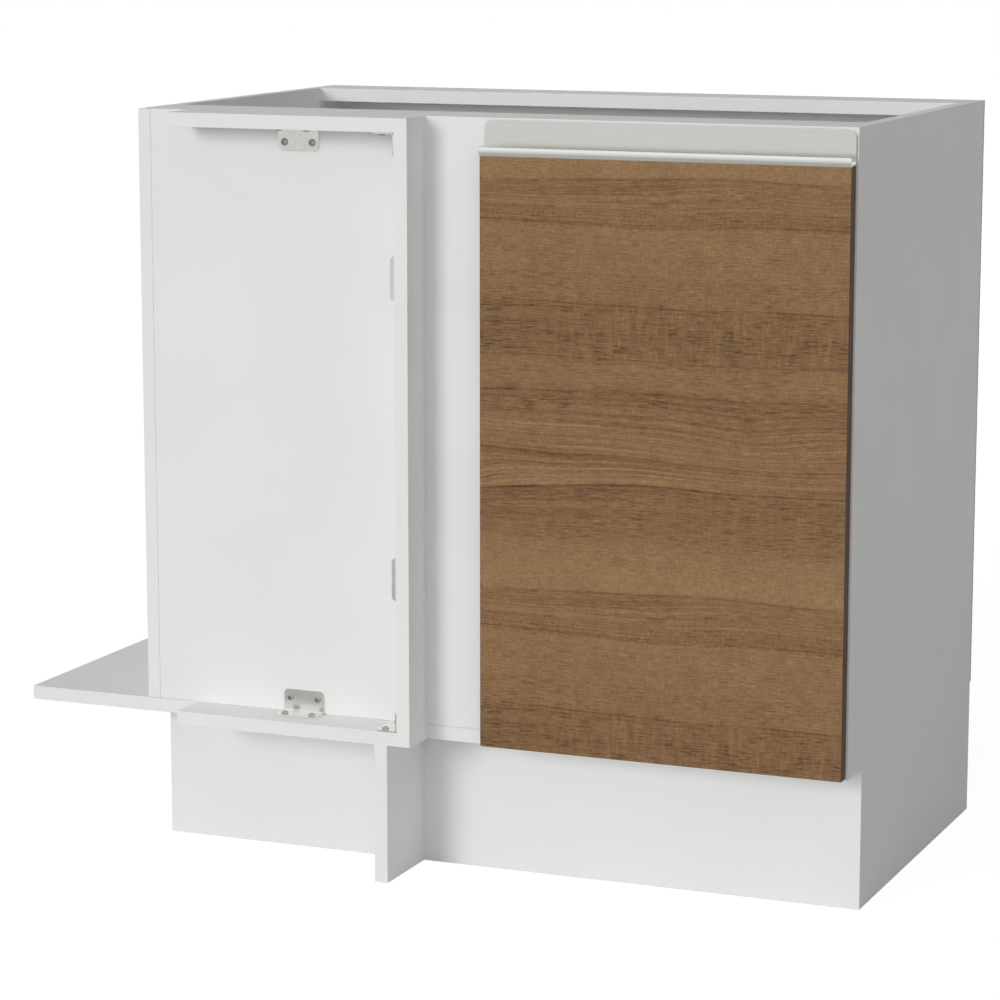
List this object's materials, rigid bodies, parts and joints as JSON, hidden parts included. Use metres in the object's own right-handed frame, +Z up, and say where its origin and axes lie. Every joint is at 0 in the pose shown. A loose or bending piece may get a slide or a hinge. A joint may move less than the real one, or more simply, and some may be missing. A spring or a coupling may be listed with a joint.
{
  "type": "corner base cabinet",
  "caption": "White corner base cabinet with one hinged wood-grain door, a profile handle, a fixed front panel with an open spacer frame, and a plinth.",
  "frame": {"origin": "on the floor, at the centre of the overall box in plan", "axes": "+Z up, +X from the corner on the left to the door's hinges on the right, +Y from the door to the back"},
  "size_m": [0.945, 0.532, 0.81],
  "materials": {
    "white_board": "satin white melamine",
    "brown_board": "matt printed wood grain, lying flat",
    "dark_band": "matt edge band",
    "back_board": "raw hardboard, white inside",
    "anodised_aluminium": "satin anodised",
    "zinc_steel": "bright zinc plate",
    "nickel_steel": "satin nickel plate",
    "beech": "raw",
    "soft_bumper": "matt"
  },
  "bodies": {
    "carcass": {"left_side": "white_board", "right_side": "white_board", "bottom_panel": "white_board", "front_rail": "white_board", "rear_rail": "white_board", "front_strip": "white_board", "fixed_front": "white_board", "back_panel": "back_board", "shelf": "white_board", "shelf_supports": "zinc_steel", "plinth_front": "white_board", "plinth_rear": "white_board", "plinth_left": "white_board", "plinth_right": "white_board", "plinth_return": "white_board", "spacer_top": "white_board", "spacer_upright": "white_board", "spacer_bottom": "white_board", "bracket_top_mid": "zinc_steel", "bracket_bottom_mid": "zinc_steel", "bracket_top_corner": "zinc_steel", "bracket_bottom_corner": "zinc_steel", "bracket_upright_upper": "zinc_steel", "bracket_upright_lower": "zinc_steel", "bracket_screws": "zinc_steel", "dowels": "beech", "cam_locks": "nickel_steel", "cam_bolts": "zinc_steel", "side_screws": "zinc_steel", "plinth_screws": "zinc_steel", "back_nails": "zinc_steel", "hinge_arm_upper": "nickel_steel", "hinge_arm_lower": "nickel_steel", "hinge_arm_pins": "zinc_steel", "hinge_arm_screws": "zinc_steel", "hinge_plate_upper": "nickel_steel", "hinge_plate_lower": "nickel_steel", "hinge_plate_screws": "zinc_steel"},
    "door": {"door_panel": "brown_board", "door_edge_band": "dark_band", "handle_profile": "anodised_aluminium", "handle_screws": "zinc_steel", "door_bumpers": "soft_bumper", "hinge_cup_upper": "nickel_steel", "hinge_cup_lower": "nickel_steel", "hinge_cup_pins": "zinc_steel", "hinge_cup_screws": "zinc_steel"},
    "hinge_links": {"hinge_link_upper": "nickel_steel", "hinge_link_lower": "nickel_steel"}
  },
  "joints": [
    {"name": "door_hinge", "type": "hinge", "parent": "carcass", "child": "door", "pos_m": [0.4655, -0.2285, 0.46], "axis": [0, 0, 1], "range_deg": [0, 95]},
    {"name": "hinge_link_turn", "type": "hinge", "parent": "carcass", "child": "hinge_links", "pos_m": [0.4395, -0.2245, 0.46], "axis": [0, 0, 1], "range_deg": [-20, 0]}
  ],
  "couplings": [
    {"joint": "hinge_link_turn", "follows": "door_hinge", "ratio": -0.2102}
  ]
}
